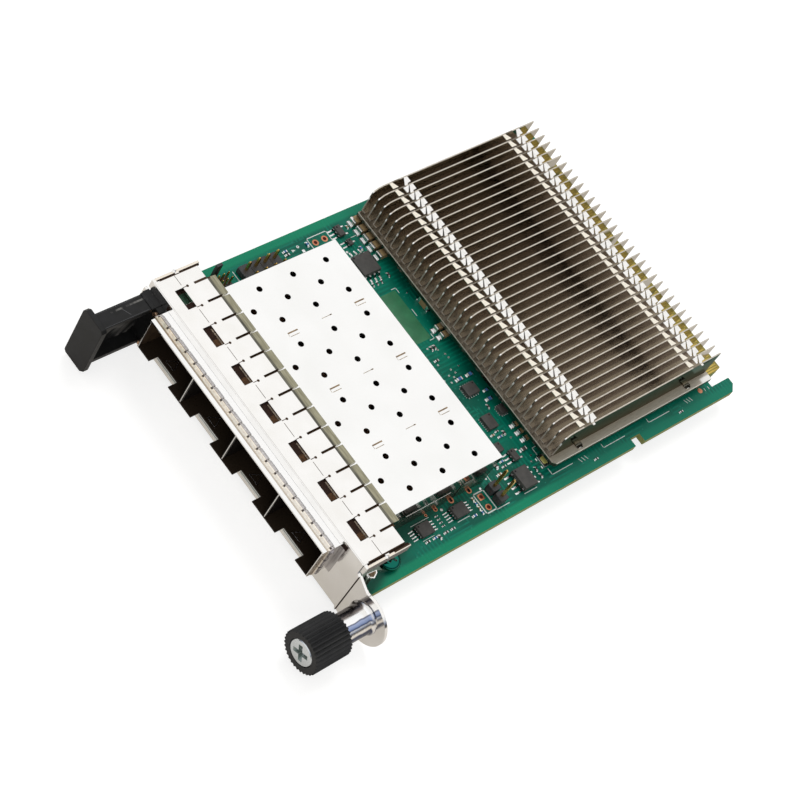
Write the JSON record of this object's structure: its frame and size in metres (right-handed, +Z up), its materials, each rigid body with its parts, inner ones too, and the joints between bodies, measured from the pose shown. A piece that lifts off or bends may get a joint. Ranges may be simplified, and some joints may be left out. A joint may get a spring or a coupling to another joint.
{
  "type": "mezzanine network card",
  "caption": "Mezzanine network card with a ganged pluggable-port cage, folded front bracket, pull tab, captive thumbscrew and finned heat sink.",
  "frame": {"origin": "on the board's top face, midway between its side edges, at the front bracket's plane", "axes": "+X towards the captive screw, +Y from the front bracket to the edge contacts, +Z up from the component side"},
  "size_m": [0.0852, 0.1316, 0.017],
  "materials": {
    "board": "green solder mask",
    "bracket_steel": "bright nickel plate",
    "screw_steel": "zinc plate",
    "ferrule_steel": "polished nickel plate",
    "spring_steel": "drawn wire",
    "knob_plastic": "black, fluted",
    "tab_plastic": "black, lightly grained",
    "rivet_brass": "coppery brass",
    "cage_steel": "bright nickel plate",
    "gasket_metal": "tin-plated spring bronze",
    "connector_plastic": "black",
    "heatsink_metal": "nickel-plated",
    "chip_resin": "moulded resin",
    "thermal_gel": "soft grey pad",
    "capacitor_ceramic": "fired brown",
    "crystal_can": "seam-welded lid",
    "header_plastic": "black",
    "pin_gold": "gold flash"
  },
  "bodies": {
    "card": {"circuit_board": "board", "front_bracket": "bracket_steel", "bracket_screw_1": "screw_steel", "bracket_screw_2": "screw_steel", "thumbscrew_ferrule": "ferrule_steel", "thumbscrew_spring": "spring_steel", "pull_tab": "tab_plastic", "pull_tab_rivets": "rivet_brass", "cage_shell": "cage_steel", "cage_floor": "cage_steel", "cage_dividers": "cage_steel", "cage_gasket": "gasket_metal", "port_connector_1": "connector_plastic", "port_connector_2": "connector_plastic", "port_connector_3": "connector_plastic", "port_connector_4": "connector_plastic", "heatsink_base": "heatsink_metal", "heatsink_fins": "heatsink_metal", "heatsink_screws": "screw_steel", "heatsink_standoffs": "screw_steel", "controller_chip": "chip_resin", "thermal_pad": "thermal_gel", "monitor_chip_front": "chip_resin", "monitor_chip_rear": "chip_resin", "flash_memory_chip": "chip_resin", "eeprom_chip": "chip_resin", "supervisor_chip": "chip_resin", "reset_chip": "chip_resin", "switch_chip": "chip_resin", "regulator_chips": "chip_resin", "buffer_chips": "chip_resin", "bulk_capacitors": "capacitor_ceramic", "decoupling_capacitors": "capacitor_ceramic", "input_capacitor": "capacitor_ceramic", "crystal_oscillator": "crystal_can", "debug_header_base": "header_plastic", "debug_header_pins": "pin_gold", "config_header_base": "header_plastic", "config_header_pins": "pin_gold", "strap_header_base": "header_plastic", "strap_header_pins": "pin_gold", "header_key": "header_plastic"},
    "thumbscrew_slider": {"thumbscrew_retaining_ring": "screw_steel"},
    "thumbscrew": {"thumbscrew_screw": "screw_steel", "thumbscrew_knob": "knob_plastic"}
  },
  "joints": [
    {"name": "thumbscrew_press", "type": "slide", "parent": "card", "child": "thumbscrew_slider", "axis": [0, 1, 0], "range_m": [0, 0.004], "stiffness_N_per_m": 300, "springref_m": -0.002, "deforming": ["thumbscrew_spring"]},
    {"name": "thumbscrew_turn", "type": "hinge", "parent": "thumbscrew_slider", "child": "thumbscrew", "pos_m": [0.0411, -0.012, 0.0001], "axis": [0, -1, 0], "continuous": true}
  ]
}
